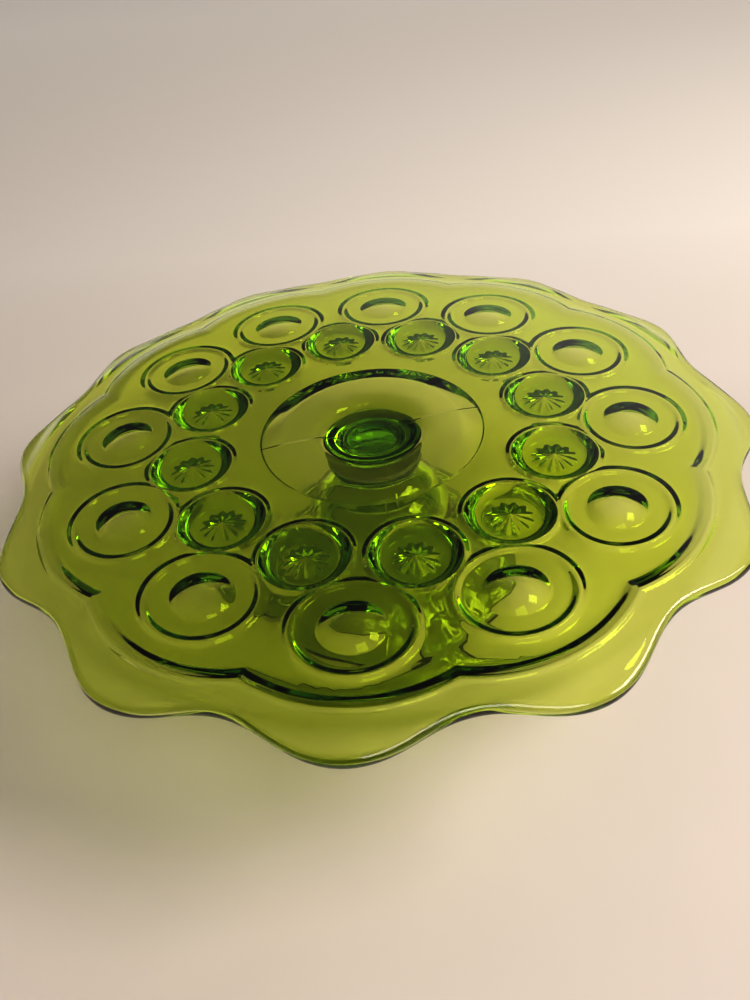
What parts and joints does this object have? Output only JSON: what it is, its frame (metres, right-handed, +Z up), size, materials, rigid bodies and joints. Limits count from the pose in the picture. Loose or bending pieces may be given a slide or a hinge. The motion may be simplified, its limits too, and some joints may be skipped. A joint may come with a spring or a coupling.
{
  "type": "footed cake stand",
  "caption": "Low footed cake stand in green pressed glass: a scalloped serving plate with moulded moons and stars turns and lifts off on a hollow bell-shaped pedestal.",
  "frame": {"origin": "centre of the foot, on the table", "axes": "+Z up along the axis of the stand, -Y towards the front moon; moons lie on the X and Y axes and every 30 degrees between"},
  "size_m": [0.28, 0.28, 0.081],
  "materials": {
    "green_glass": "clear fire-polished pressed glass, olive to yellow green",
    "grey_ring": "soft satin"
  },
  "bodies": {
    "pedestal": {"pedestal": "green_glass"},
    "seat_ring": {"seat_ring": "grey_ring"},
    "plate": {"plate": "green_glass"}
  },
  "joints": [
    {"name": "plate_lift", "type": "slide", "parent": "pedestal", "child": "seat_ring", "axis": [0, 0, 1], "range_m": [0, 0.04]},
    {"name": "plate_turn", "type": "hinge", "parent": "seat_ring", "child": "plate", "pos_m": [0, 0, 0.065], "axis": [0, 0, 1], "continuous": true}
  ]
}
